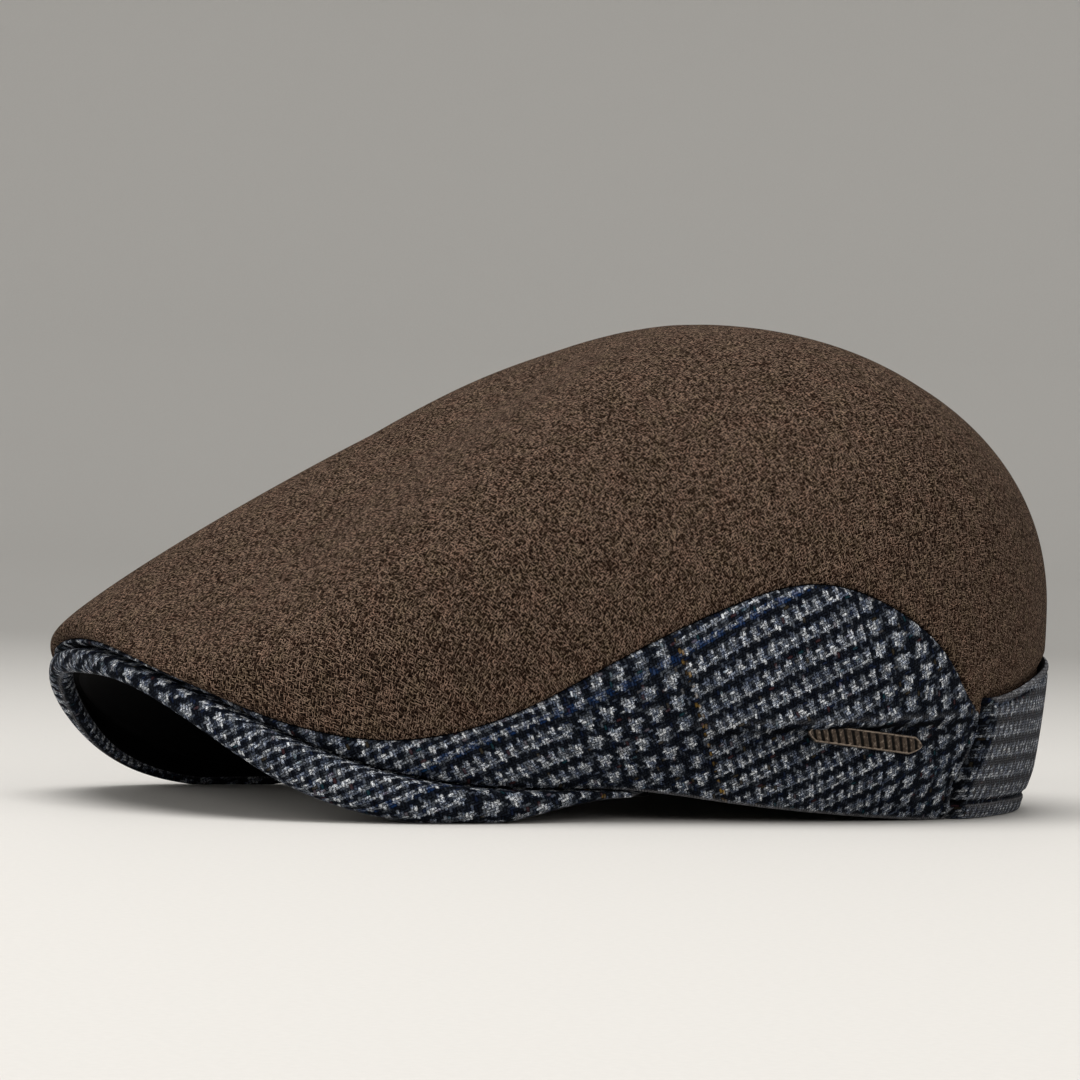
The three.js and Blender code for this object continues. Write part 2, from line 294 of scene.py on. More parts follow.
def finished(bm, name, materials, slot, *nodes):
    """Joins what meets, makes the object and ties it to the frame."""
    bmesh.ops.remove_doubles(bm, verts=bm.verts, dist=JOIN * MM)
    piece = placed_mesh(bm, name, materials)
    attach(piece, "root")
    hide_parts(*nodes)
    return piece


# ---- materials ----
def srgb(code):
    """A hex colour such as #4a3b31 as linear RGBA."""
    parts = [int(code[i:i + 2], 16) / 255 for i in (1, 3, 5)]
    return (*(c / 12.92 if c <= 0.04045 else ((c + 0.055) / 1.055) ** 2.4 for c in parts), 1)


def add(tree, kind, inputs=(), **settings):
    """Adds a shader node, with its settings and with its inputs set or linked by name or number."""
    node = tree.nodes.new("ShaderNode" + kind)
    for name, value in settings.items():
        setattr(node, name, value)
    for name, value in dict(inputs).items():
        if isinstance(value, bpy.types.Node):
            value = value.outputs[0]
        if isinstance(value, bpy.types.NodeSocket):
            tree.links.new(value, node.inputs[name])
        else:
            node.inputs[name].default_value = value
    return node


def new_material(name):
    """A material with an empty node tree."""
    material = bpy.data.materials.new(name)
    material.use_nodes = True
    material.node_tree.nodes.clear()
    return material, material.node_tree


def with_steps(ramp, *steps):
    """Gives a colour ramp its steps, which are pairs of position and hex colour."""
    elements = ramp.color_ramp.elements
    while len(elements) < len(steps):
        elements.new(1)
    for element, (position, code) in zip(elements, steps):
        element.position = position
        element.color = srgb(code)
    return ramp


# hairs of the wool, in millimetres and radians
HAIR_CELL = 0.98      # spacing of the hairs in one layer
HAIR_SCATTER = 0.75   # how far they stray from even rows
HAIR_CORE, HAIR_WIDTH = 0.02, 0.12   # drawn coarser than a real hair, which is too fine to show
HAIR_CURL = 0.16
HAIR_LEANS = (0.78, -0.74, 0.68, -0.84, 0.88, -0.66)   # one for each layer
HAIR_SPREAD = 0.5     # how far single hairs turn from their layer's lean
LAYER_SHIFT = (467.3, 531.9)


def felted_wool():
    """Milled wool: a dense tangle of short curved hairs, matt, dark in the gaps between them."""
    material, tree = new_material("felted_wool")
    cloth = add(tree, "UVMap", uv_map="cloth")
    curl = add(tree, "TexNoise", {"Vector": cloth, "Scale": 0.9, "Detail": 1.0}, noise_dimensions="2D")
    curl_way = add(tree, "VectorMath", {0: curl.outputs["Color"], 1: (0.5, 0.5, 0.5)}, operation="SUBTRACT")
    curled = add(tree, "VectorMath", {
        0: curl_way, 1: (HAIR_CURL * 2,) * 3, 2: cloth,
    }, operation="MULTIPLY_ADD")
    # each layer, from a far-off part of the same scatter, has one hair in every cell, leaning either way
    tangle = None
    for layer, lean in enumerate(HAIR_LEANS):
        shift = (LAYER_SHIFT[0] * layer, LAYER_SHIFT[1] * layer, 0)
        moved = add(tree, "VectorMath", {0: curled, 1: shift}, operation="ADD")
        cell = add(tree, "TexVoronoi", {
            "Vector": moved, "Scale": 1 / HAIR_CELL, "Randomness": HAIR_SCATTER,
        }, voronoi_dimensions="2D")
        centre = cell.outputs["Position"]
        offset = add(tree, "VectorMath", {0: moved, 1: centre}, operation="SUBTRACT")
        chance = add(tree, "SeparateColor", {0: cell.outputs["Color"]})
        angle = add(tree, "Math", {
            0: chance.outputs[0], 1: HAIR_SPREAD, 2: lean - HAIR_SPREAD / 2,
        }, operation="MULTIPLY_ADD")
        lying = add(tree, "VectorRotate", {"Vector": offset, "Angle": angle}, rotation_type="Z_AXIS")
        part = add(tree, "SeparateXYZ", {0: lying})
        across = add(tree, "Math", {0: part.outputs[1]}, operation="ABSOLUTE")
        along = add(tree, "Math", {0: part.outputs[0]}, operation="ABSOLUTE")
        thin = add(tree, "MapRange", {
            "Value": across, "From Min": HAIR_CORE, "From Max": HAIR_WIDTH, "To Min": 1.0, "To Max": 0.0,
        })
        ends = add(tree, "MapRange", {
            "Value": along, "From Min": HAIR_CELL * 0.4, "From Max": HAIR_CELL * 0.62,
            "To Min": 1.0, "To Max": 0.0,
        })
        hair = add(tree, "Math", {0: thin, 1: ends}, operation="MULTIPLY")
        rare = add(tree, "Math", {0: chance.outputs[1], 1: 2.2}, operation="POWER")
        bright = add(tree, "Math", {0: rare, 1: 0.85, 2: 0.36}, operation="MULTIPLY_ADD")
        lit = add(tree, "Math", {0: hair, 1: bright}, operation="MULTIPLY")
        tangle = lit if tangle is None else add(tree, "Math", {0: tangle, 1: lit}, operation="MAXIMUM")
    ground = add(tree, "TexNoise", {"Vector": cloth, "Scale": 1.9, "Detail": 2.0}, noise_dimensions="2D")
    depth = add(tree, "MapRange", {
        "Value": ground, "From Min": 0.3, "From Max": 0.7, "To Min": 0.0, "To Max": 0.1,
    })
    value = add(tree, "Math", {0: tangle, 1: depth}, operation="ADD")
    shade = with_steps(
        add(tree, "ValToRGB", {0: value}), (0.0, "#0b0604"), (0.2, "#18100c"), (0.46, "#34271f"),
        (1.0, "#a89180"),
    )
    # the dye took unevenly, a little greener here and redder there
    hue = add(tree, "TexNoise", {"Vector": cloth, "Scale": 0.16, "Detail": 3.0}, noise_dimensions="2D")
    cast = with_steps(
        add(tree, "ValToRGB", {0: hue}), (0.32, "#7c7a66"), (0.5, "#827b76"), (0.68, "#8c7a72"),
    )
    colour = add(tree, "Mix", {0: 0.45, 6: shade, 7: cast}, data_type="RGBA", blend_type="OVERLAY")
    bump = add(tree, "Bump", {"Strength": 0.45, "Distance": 0.15 * MM, "Height": value})
    shader = add(tree, "BsdfPrincipled", {
        "Base Color": colour.outputs[2], "Roughness": 1.0, "Specular IOR Level": 0.03, "Normal": bump,
    })
    add(tree, "OutputMaterial", {"Surface": shader})
    return material


# threads of the checked tweed, in millimetres
THREAD_ACROSS = 0.78       # spacing of the threads that run up the cap
THREAD_UP = 0.73           # spacing of the threads that run round it
WARP_SECTIONS = (62, 48)   # threads in a fine section of the check and in a broad one
WEFT_SECTIONS = (50, 120)
WARP_TILT = math.radians(26)
WEFT_TILT = math.radians(109)
SUNK = 0.2                 # how bright a light thread stays furthest from the next light one
CLOSE_SUNK = 0.72          # and how bright it stays in a fine section, where the threads lie close
MILLING = 0.55             # how far milling has shifted the threads


def checked_tweed():
    """Checked tweed: 2/2 twill in light grey and navy-black wool, with a blue and a mustard overcheck."""
    material, tree = new_material("checked_tweed")
    cloth = add(tree, "UVMap", uv_map="cloth")
    fuzz = add(tree, "TexNoise", {"Vector": cloth, "Scale": 2.4, "Detail": 2.0}, noise_dimensions="2D")
    centred = add(tree, "VectorMath", {0: fuzz.outputs["Color"], 1: (0.5, 0.5, 0.5)}, operation="SUBTRACT")
    woven = add(tree, "VectorMath", {0: centred, 1: (MILLING,) * 3, 2: cloth}, operation="MULTIPLY_ADD")

    # the number of the thread at this place, up the cap and round it, and the place across each
    e1 = (THREAD_ACROSS * math.cos(WARP_TILT), THREAD_ACROSS * math.sin(WARP_TILT))
    e2 = (THREAD_UP * math.cos(WEFT_TILT), THREAD_UP * math.sin(WEFT_TILT))
    area = e1[0] * e2[1] - e1[1] * e2[0]
    a, b = (
        add(tree, "VectorMath", {0: woven, 1: way}, operation="DOT_PRODUCT").outputs[1]
        for way in ((e2[1] / area, -e2[0] / area, 0), (-e1[1] / area, e1[0] / area, 0))
    )
    i = add(tree, "Math", {0: a}, operation="FLOOR")
    j = add(tree, "Math", {0: b}, operation="FLOOR")
    across = add(tree, "Math", {0: a}, operation="FRACT")
    up = add(tree, "Math", {0: b}, operation="FRACT")
    diagonal = add(tree, "Math", {0: i, 1: j}, operation="ADD")
    step = add(tree, "Math", {0: diagonal, 1: 4.0}, operation="FLOORED_MODULO")
    warp_on_top = add(tree, "Math", {0: step, 1: 1.5}, operation="LESS_THAN")

    # Light and dark threads, four and four in a broad section and two and two in a fine one. Where a light
    # thread crosses dark ones it sinks, and the more so the further it is from the next light one.
    light, fine, standing = [], [], []
    for number, place, counts in ((i, a, WARP_SECTIONS), (j, b, WEFT_SECTIONS)):
        in_check = add(tree, "Math", {0: number, 1: float(sum(counts))}, operation="FLOORED_MODULO")
        broad = add(tree, "Math", {0: in_check, 1: counts[0] - 0.5}, operation="GREATER_THAN")
        width = add(tree, "Math", {0: broad, 1: 2.0, 2: 2.0}, operation="MULTIPLY_ADD")
        sets = add(tree, "Math", {0: number, 1: width}, operation="DIVIDE")
        turn = add(tree, "Math", {0: sets, 1: 2.0}, operation="FLOORED_MODULO")
        is_light = add(tree, "Math", {0: turn, 1: 0.999}, operation="LESS_THAN")
        place_in_sets = add(tree, "Math", {0: place, 1: width}, operation="DIVIDE")
        near = add(tree, "Math", {0: place_in_sets, 1: 2.0}, operation="FLOORED_MODULO")
        past_middle = add(tree, "Math", {0: near, 1: 1.5}, operation="SUBTRACT")
        from_middle = add(tree, "Math", {0: past_middle}, operation="ABSOLUTE")
        share = add(tree, "Math", {0: 0.5, 1: from_middle}, operation="SUBTRACT")
        threads_away = add(tree, "Math", {0: share, 1: width}, operation="MULTIPLY")
        sunk = add(tree, "MapRange", {
            "Value": threads_away, "From Min": 0.35, "From Max": 1.9, "To Min": 0.92, "To Max": SUNK,
        })
        light.append(is_light)
        fine.append(add(tree, "Math", {0: 1.0, 1: broad}, operation="SUBTRACT"))
        close_set = add(tree, "Math", {0: fine[-1], 1: CLOSE_SUNK}, operation="MULTIPLY")
        sunk = add(tree, "Math", {0: sunk, 1: close_set}, operation="MAXIMUM")
        standing.append(add(tree, "Math", {0: is_light, 1: sunk}, operation="MAXIMUM"))
    shown = add(tree, "Mix", {0: warp_on_top, 2: light[1], 3: light[0]})
    stands = add(tree, "Math", {0: standing[0], 1: standing[1]}, operation="MULTIPLY")
    light_here = add(tree, "Math", {0: shown, 1: stands}, operation="MULTIPLY")

    # milling spreads the light threads of a fine section over their dark neighbours
    spread = [add(tree, "Math", {0: light[k], 1: fine[1 - k]}, operation="MULTIPLY") for k in (0, 1)]
    haze = add(tree, "Math", {0: spread[0], 1: spread[1]}, operation="ADD")

    # a float, a stretch of thread over two others, is rounded both ways and has its own brightness
    quarter = add(tree, "Math", {0: diagonal, 1: 0.25}, operation="MULTIPLY")
    bundle = add(tree, "Math", {0: quarter}, operation="FLOOR")
    thread = add(tree, "Mix", {0: warp_on_top, 2: j, 3: i})
    which = add(tree, "CombineXYZ", {0: thread, 1: bundle, 2: warp_on_top})
    knot = add(tree, "TexWhiteNoise", {"Vector": which}, noise_dimensions="3D")
    side = add(tree, "Mix", {0: warp_on_top, 2: up, 3: across})
    off = add(tree, "Math", {0: side, 1: 0.5}, operation="SUBTRACT")
    round_off = add(tree, "Math", {0: off, 1: off}, operation="MULTIPLY")
    travel = add(tree, "Mix", {0: warp_on_top, 2: across, 3: up})
    second = add(tree, "Math", {0: step, 1: 2.0}, operation="FLOORED_MODULO")
    travelled = add(tree, "Math", {0: second, 1: travel}, operation="ADD")
    from_centre = add(tree, "Math", {0: travelled, 1: 1.0}, operation="SUBTRACT")
    end_drop = add(tree, "Math", {0: from_centre, 1: 4.0}, operation="POWER")
    body = add(tree, "Math", {0: round_off, 1: -4.0, 2: 1.0}, operation="MULTIPLY_ADD")
    profile = add(tree, "Math", {0: end_drop, 1: -0.8, 2: body}, operation="MULTIPLY_ADD")

    hairs = add(tree, "TexNoise", {
        "Vector": cloth, "Scale": 3.2, "Detail": 3.0, "Roughness": 0.7,
    }, noise_dimensions="2D")
    ragged = add(tree, "MapRange", {
        "Value": hairs, "From Min": 0.36, "From Max": 0.64, "To Min": 0.3, "To Max": 1.3,
    })
    rare = add(tree, "Math", {0: knot, 1: 2.0}, operation="POWER")
    spark = add(tree, "Math", {0: rare, 1: 0.62, 2: 0.51}, operation="MULTIPLY_ADD")
    lit = add(tree, "Math", {0: spark, 1: ragged}, operation="MULTIPLY")
    bright = add(tree, "Math", {0: lit, 1: light_here}, operation="MULTIPLY")
    pick = add(tree, "SeparateColor", {0: knot.outputs["Color"]})
    stray = add(tree, "Math", {0: pick.outputs[0], 1: 5.0}, operation="POWER")
    dark = add(tree, "Math", {0: stray, 1: 0.26, 2: 0.03}, operation="MULTIPLY_ADD")
    haze_share = add(tree, "Math", {0: haze, 1: 0.08, 2: 0.13}, operation="MULTIPLY_ADD")
    dusted = add(tree, "Math", {0: ragged, 1: haze_share, 2: dark}, operation="MULTIPLY_ADD")
    level = add(tree, "Math", {0: bright, 1: dusted}, operation="MAXIMUM")
    colour = with_steps(
        add(tree, "ValToRGB", {0: level}), (0.0, "#06080b"), (0.2, "#191d25"), (0.45, "#5f656e"),
        (0.75, "#a9aeb6"), (1.0, "#f0f3f7"),
    )

    # dark threads were spun from navy, black and brown; a few are teal, rust or mustard
    navy = add(tree, "TexNoise", {"Vector": woven, "Scale": 0.5, "Detail": 3.0}, noise_dimensions="2D")
    # each share is how much navy, blue or mustard there is where its wool is thickest
    navy_share, blue_share, mustard_share = (
        add(tree, "MapRange", {
            "Value": navy, "From Min": 0.42, "From Max": 0.62, "To Min": 0.0, "To Max": most,
        })
        for most in (0.55, 0.6, 1.2)
    )
    tinted = add(tree, "Mix", {
        0: navy_share, 6: colour, 7: srgb("#51688f"),
    }, data_type="RGBA", blend_type="OVERLAY")
    fleck = with_steps(
        add(tree, "ValToRGB", {0: pick.outputs[2]}), (0.0, "#000000"), (0.86, "#070f22"), (0.92, "#000000"),
        (0.955, "#2c2410"), (0.97, "#2d1410"), (0.985, "#06262c"),
    )
    fleck.color_ramp.interpolation = "CONSTANT"
    flecked = add(tree, "Mix", {
        0: 1.0, 6: tinted.outputs[2], 7: fleck,
    }, data_type="RGBA", blend_type="SCREEN")

    # the overcheck: three blue threads one way, and the floats of two mustard threads the other
    blue_at = add(tree, "Math", {0: j, 1: 0.0, 2: 1.1}, operation="COMPARE")
    blue = add(tree, "Math", {0: blue_at, 1: blue_share}, operation="MULTIPLY")
    blued = add(tree, "Mix", {0: blue, 6: flecked.outputs[2], 7: srgb("#16305a")}, data_type="RGBA")
    mustard_at = add(tree, "Math", {0: i, 1: -0.5, 2: 0.9}, operation="COMPARE")
    floats = add(tree, "Math", {0: mustard_at, 1: warp_on_top}, operation="MULTIPLY")
    spun = add(tree, "Math", {0: floats, 1: knot}, operation="MULTIPLY")
    mustard = add(tree, "Math", {0: spun, 1: mustard_share}, operation="MULTIPLY")
    lined = add(tree, "Mix", {0: mustard, 6: blued.outputs[2], 7: srgb("#80652e")}, data_type="RGBA")

    # painted light: folded edges and the fold's lip get a painted highlight, and gaps between threads, deep
    # creases and stitch rows get painted shade
    # the attribute read here holds painted highlight above 0 and painted shade below 0
    fold = add(tree, "Attribute", attribute_name="painted_light_and_wear").outputs["Fac"]
    painted_highlight = add(tree, "Math", {0: fold, 1: 0.0}, operation="MAXIMUM")
    highlight_share = add(tree, "Math", {0: painted_highlight, 1: ragged}, operation="MULTIPLY")
    # mixes in the painted highlight, a light grey
    highlighted = add(tree, "Mix", {0: highlight_share, 6: lined.outputs[2], 7: srgb("#86868a")}, data_type="RGBA")
    # painted shade between threads, from each float's rounded profile
    gaps = add(tree, "MapRange", {"Value": profile, "To Min": 0.2, "To Max": 1.15})
    # painted shade in creases and stitch rows, from the attribute's negative part
    painted_shade = add(tree, "MapRange", {
        "Value": fold, "From Min": -1.0, "From Max": 0.0, "To Min": 0.0, "To Max": 1.0,
    })
    shaded = add(tree, "Math", {0: gaps, 1: painted_shade}, operation="MULTIPLY")
    dimmed = add(tree, "VectorMath", {0: highlighted.outputs[2], "Scale": shaded}, operation="SCALE")

    relief = add(tree, "Math", {0: lit, 1: 0.5, 2: profile}, operation="MULTIPLY_ADD")
    bump = add(tree, "Bump", {"Strength": 0.7, "Distance": 0.2 * MM, "Height": relief})
    shader = add(tree, "BsdfPrincipled", {
        "Base Color": dimmed, "Roughness": 0.95, "Specular IOR Level": 0.03, "Normal": bump,
    })
    add(tree, "OutputMaterial", {"Surface": shader})
    return material


TWILL_PITCH = 0.6    # spacing of the cotton twill's ribs, in millimetres
WAVE_REPEAT = 0.31   # how far the wave texture runs before it repeats, at a scale of 1


def cotton_lining():
    """Black cotton twill: near-black, with a faint diagonal rib."""
    material, tree = new_material("black_cotton_lining")
    place = add(tree, "TexCoord").outputs["Object"]
    rib = add(tree, "TexWave", {
        "Vector": place, "Scale": WAVE_REPEAT / (TWILL_PITCH * MM), "Distortion": 1.0,
    }, bands_direction="DIAGONAL")
    colour = with_steps(add(tree, "ValToRGB", {0: rib}), (0.0, "#030304"), (1.0, "#0a0a0b"))
    bump = add(tree, "Bump", {"Strength": 0.4, "Distance": 0.1 * MM, "Height": rib.outputs[1]})
    shader = add(tree, "BsdfPrincipled", {
        "Base Color": colour, "Roughness": 0.95, "Specular IOR Level": 0.05, "Normal": bump,
    })
    add(tree, "OutputMaterial", {"Surface": shader})
    return material


def aged_bronze():
    """Cast zinc, bronze plated and blackened: dark in its hollows and rubbed bright where it stands up."""
    material, tree = new_material("aged_bronze")
    place = add(tree, "TexCoord").outputs["Object"]
    raised = add(tree, "Attribute", attribute_name="painted_light_and_wear").outputs["Fac"]
    grain = add(tree, "TexNoise", {"Vector": place, "Scale": 1 / (0.7 * MM), "Detail": 3.0})
    rough_grain = add(tree, "MapRange", {
        "Value": grain, "From Min": 0.3, "From Max": 0.7, "To Min": -0.2, "To Max": 0.2,
    })
    mixed = add(tree, "Math", {0: rough_grain, 1: raised}, operation="ADD")
    colour = with_steps(
        add(tree, "ValToRGB", {0: mixed}), (0.0, "#0c0a09"), (0.35, "#1f1b18"), (0.8, "#4a4038"),
        (1.0, "#8c7f73"),
    )
    shader = add(tree, "BsdfPrincipled", {"Base Color": colour, "Metallic": 0.9, "Roughness": 0.42})
    add(tree, "OutputMaterial", {"Surface": shader})
    return material


def studio_floor():
    """Matt pale paper for the floor, with the faint tooth of its surface."""
    material, tree = new_material("studio_paper")
    place = add(tree, "TexCoord").outputs["Object"]
    tooth = add(tree, "TexNoise", {"Vector": place, "Scale": 1 / (1.5 * MM), "Detail": 2.0})
    colour = with_steps(add(tree, "ValToRGB", {0: tooth}), (0.3, "#d6d5d3"), (0.7, "#d9d8d6"))
    shader = add(tree, "BsdfPrincipled", {"Base Color": colour, "Roughness": 0.6})
    add(tree, "OutputMaterial", {"Surface": shader})
    return material


BROWN_WOOL = felted_wool()
GREY_TWEED = checked_tweed()
BLACK_COTTON = cotton_lining()
DARK_BRONZE = aged_bronze()


# ---- cloth pieces ----
def eased(count):
    """count + 1 shares from 0 to 1, close together at both ends."""
    return (1 - np.cos(np.linspace(0, math.pi, count + 1))) / 2


def body_cloth(azimuths, runs, stand_off, thickness, inset, edge_share):
    """Outer and inner points of a layer of the body, rounded off where edge_share falls to nothing."""
    middle = inset + thickness / 2 - stand_off
    half = edge_share * thickness / 2
    return cloth_point(azimuths, runs, middle - half), cloth_point(azimuths, runs, middle + half)


def cloth_wall(name, skins, cloth_map, painted_light_and_wear, materials, slot, *nodes):
    """A piece of cloth between two skins, with the last material inside."""
    bm = new_cloth_mesh()
    outer, inner = skins
    laid_grid(bm, outer, cloth_map, painted_light_and_wear)
    laid_grid(bm, inner, cloth_map, flip=True, material=len(materials) - 1)
    return finished(bm, name, materials, slot, *nodes)


def valley(distance, depth, width):
    """How far a sewn edge is drawn in."""
    return depth * np.exp(-(distance / width) ** 2)


def edge_distances(azimuths, runs):
    """Distances of each point of a grid from its bottom, top, left and right edges."""
    points = surface(azimuths, runs)
    up = distance_along(points, 0)
    across = distance_along(points, 1)
    return up, up[-1:] - up, across, across[:, -1:] - across


# Where the cloth is at a height, in millimetres: round the bulge from the overcheck's crossing, and up.
ring = np.linspace(-180, 180, 2881)
ring_points = surface(ring, np.full(ring.shape, BULGE_SHARE))
ring_length = distance_along(ring_points, 0)
CHECK_AZIMUTH = 65.0
CHECK_HEIGHT = 46.0


def round_the_bulge(azimuths):
    """Distance round the bulge from the overcheck's crossing."""
    return np.interp(azimuths, ring, ring_length) - np.interp(CHECK_AZIMUTH, ring, ring_length)


def cloth_place(azimuths, runs):
    """The cloth's own map on the body: x round the cap and y up it, from where the overcheck crosses."""
    steps = np.linspace(0, 1, 41)[:, None, None]
    below = surface(azimuths[None], runs[None] * steps)
    climb = distance_along(below, 0)[-1]
    return np.stack((round_the_bulge(azimuths), climb + RIM_HEIGHT(azimuths) - CHECK_HEIGHT), -1)


HALF_SEAM = 0.1         # from the middle of the crown's seam to the edge of either cloth
SEAM_DEPTH, SEAM_WIDTH = 0.7, 1.2   # how far the sewn edges are drawn in, and over what distance
SEAM_ROUNDING = 0.9
TAPE_END = 116.4        # azimuth where the tape behind the crown's seam ends
TAPE_REACH = 3.5        # how far the tape reaches up and down from the seam
TAPE_DEPTH = 0.9        # how far it lies behind the inner side of the cloth
TAPE_THICKNESS = 0.5
TAPE_CLEARANCE = 0.8    # between the tape and the rim


def seam_tape(bm, material):
    """Cotton tape behind the seam between crown and side panels, so that the seam is closed."""
    azimuths = np.linspace(-TAPE_END, TAPE_END, 241)
    edge = crown_edge_height(azimuths)
    low = np.maximum(edge - TAPE_REACH, RIM_HEIGHT(azimuths) + TAPE_CLEARANCE)
    runs = run_at(azimuths, low + (edge + TAPE_REACH - low) * eased(8)[:, None])
    azimuths = np.broadcast_to(azimuths, runs.shape)
    share = rounded(np.minimum.reduce(edge_distances(azimuths, runs)), 0.3)
    outer, inner = body_cloth(azimuths, runs, 0, TAPE_THICKNESS, CLOTH + TAPE_DEPTH, share)
    cloth_map = np.zeros((*runs.shape, 2))
    laid_grid(bm, outer, cloth_map, material=material)
    laid_grid(bm, inner, cloth_map, flip=True, material=material)


GRAIN_AZIMUTH = 66.0    # the side up which the grain of the crown's cloth runs
CROWN_TUCK = 1.7        # how far the crown lies in behind the band
EASED_FROM, EASED_TO = 30.0, 66.0   # the top's easing fades between these distances from the apex
EASED_RINGS = (8.0, 15.0)           # distances round each place over which it is eased


def height_over(x, y):
    """The height of the body's top over a place."""
    azimuth = np.degrees(np.arctan2(x, AXIS_Y - y))
    away = np.hypot(x, y - AXIS_Y)

    def outside(run):
        point = surface(azimuth, run)
        return np.hypot(point[..., 0], point[..., 1] - AXIS_Y) > away

    run = halved(np.full(away.shape, BULGE_SHARE), np.ones(away.shape), 15, outside)
    return surface(azimuth, run)[..., 2]


def easing(x, y):
    """How far the cloth's tension lifts it towards the mean height round about."""
    turns = np.radians(np.arange(0, 360, 45))
    around = [
        height_over(x + far * math.cos(turn), y + far * math.sin(turn))
        for far in EASED_RINGS for turn in turns
    ]
    return sum(around) / len(around) - height_over(x, y)


def crown():
    """The one-piece wool top, closed at its apex, sewn to the side panels and tucked behind the band."""
    columns, rows = 360, 110
    azimuths = np.linspace(-180, 180, columns + 1)
    low = run_at(azimuths, crown_edge_height(azimuths) + HALF_SEAM)
    shares = 1 - np.cos(np.linspace(0, math.pi / 2, rows + 1))
    runs = low + (1 - low) * shares[:, None]
    azimuths = np.broadcast_to(azimuths, runs.shape)
    bottom, to_apex, _, _ = edge_distances(azimuths, runs)
    heights = surface(azimuths, runs)[..., 2]
    behind = smoothstep(np.abs(azimuths), NOTCH, NOTCH + 3)
    tucked = CROWN_TUCK * behind * (1 - smoothstep(heights - band_height(azimuths), -1.5, 4))
    inset = valley(bottom, SEAM_DEPTH, SEAM_WIDTH) * (1 - behind) + tucked
    skins = body_cloth(azimuths, runs, 0, CLOTH, inset, rounded(bottom, SEAM_ROUNDING))
    turn = np.radians(azimuths - GRAIN_AZIMUTH)
    cloth_map = np.stack((to_apex * np.sin(turn), to_apex * np.cos(turn)), -1)
    away = np.hypot(skins[0][..., 0], skins[0][..., 1] - AXIS_Y)
    top = (away < EASED_TO) & (runs > LEVEL_RUN)
    lift = easing(*skins[0][top][:, :2].T) - easing(np.zeros(1), np.full(1, AXIS_Y))
    for skin in skins:
        skin[top, 2] += lift * (1 - smoothstep(away[top], EASED_FROM, EASED_TO))
    bm = new_cloth_mesh()
    laid_grid(bm, skins[0], cloth_map)
    laid_grid(bm, skins[1], cloth_map, flip=True, material=1)
    seam_tape(bm, 1)
    return finished(bm, "crown_top_wool", (BROWN_WOOL, BLACK_COTTON), "brown_wool", "crown_top")


FRONT_GAP = 0.04        # azimuth of a panel's front edge
PANEL_STITCHES = 2.6    # from a panel's rear edge to its row of stitches
# height, degrees that the panel's rear edge gains there
REAR_EDGE = ((0, 2.4), (5, 1.5), (9.5, 0.2), (13, 0.6), (19, 2.0), (26, 1.7), (33, 0.3), (40, 0))
rear_gain = curve_through(REAR_EDGE, 1)


def side_panel(side):
    """A tweed panel from the middle of the front to the notch; side is 1 for left and -1 for right."""
    columns, rows = 220, 96
    azimuths = side * (FRONT_GAP + (NOTCH - FRONT_GAP) * np.linspace(0, 1, columns + 1))
    azimuths.sort()
    high = run_at(azimuths, crown_edge_height(azimuths) - HALF_SEAM)
    runs = high * eased(rows)[:, None]
    heights = surface(np.broadcast_to(azimuths, runs.shape), runs)[..., 2]
    near_end = smoothstep(np.abs(azimuths), 100, NOTCH)
    azimuths = azimuths + side * near_end * rear_gain(heights)
    bottom, top, left, right = edge_distances(azimuths, runs)
    front, back = (left, right) if side > 0 else (right, left)
    on_peak = 1 - smoothstep(np.abs(azimuths), PEAK_END - 7, PEAK_END + 2)
    share = np.minimum.reduce((
        rounded(bottom, 1.3 + 0.7 * on_peak), rounded(top, SEAM_ROUNDING), rounded(front, 0.6),
        rounded(back, 1.6),
    ))
    stitches = back - PANEL_STITCHES
    inset = valley(top, SEAM_DEPTH, SEAM_WIDTH) + valley(front, 0.4, 0.8) + valley(stitches, 0.8, 0.5)
    inset = inset + on_peak * valley(bottom, 1.0, 1.4)
    # painted highlight along the bottom edge past the peak and along the rear edge, painted shade in the
    # row of stitches, and the side fold's painted highlight and shade
    painted_light_and_wear = 0.9 * (1 - on_peak) * valley(bottom - 0.3, 1, 0.5) + 0.7 * valley(back - 0.3, 1, 0.45)
    painted_light_and_wear = painted_light_and_wear + 0.3 * valley(back - 1.7, 1, 0.35) - 0.6 * valley(stitches, 1, 0.45)
    painted_light_and_wear = painted_light_and_wear + fold_painted_light(azimuths, surface(azimuths, runs)[..., 2])
    skins = body_cloth(azimuths, runs, 0, CLOTH, inset, share)
    name = "left" if side > 0 else "right"
    return cloth_wall(
        f"side_panel_{name}_tweed", skins, cloth_place(azimuths, runs), painted_light_and_wear,
        (GREY_TWEED, BLACK_COTTON), "grey_tweed", f"side_panel_{name}",
    )


BAND_TUCK = 116.6      # where the band ends, hidden behind a side panel
TUCK_DEPTH = 4.4
# height, azimuth where the band comes out from behind the side panel
BAND_FRONT = ((0, 121.4), (4.5, 120.3), (11, 119.4), (17, 120.9), (26, 120.8), (33, 118.6), (44, 117.8))
BAND_TURN = math.radians(26)   # the band's cloth is turned so that its threads lie level
BAND_THICKNESS = 2.0
BAND_PAINTED_LIGHT = 0.27               # painted light: the band is painted a little lighter all over, where the side light falls on it
BAND_DRAWN_IN = 1.7            # how far the band's foot is drawn in behind
FOOT_STITCHES, TOP_STITCHES = 5.0, 2.4   # from the band's lower and upper edge to its rows of stitches


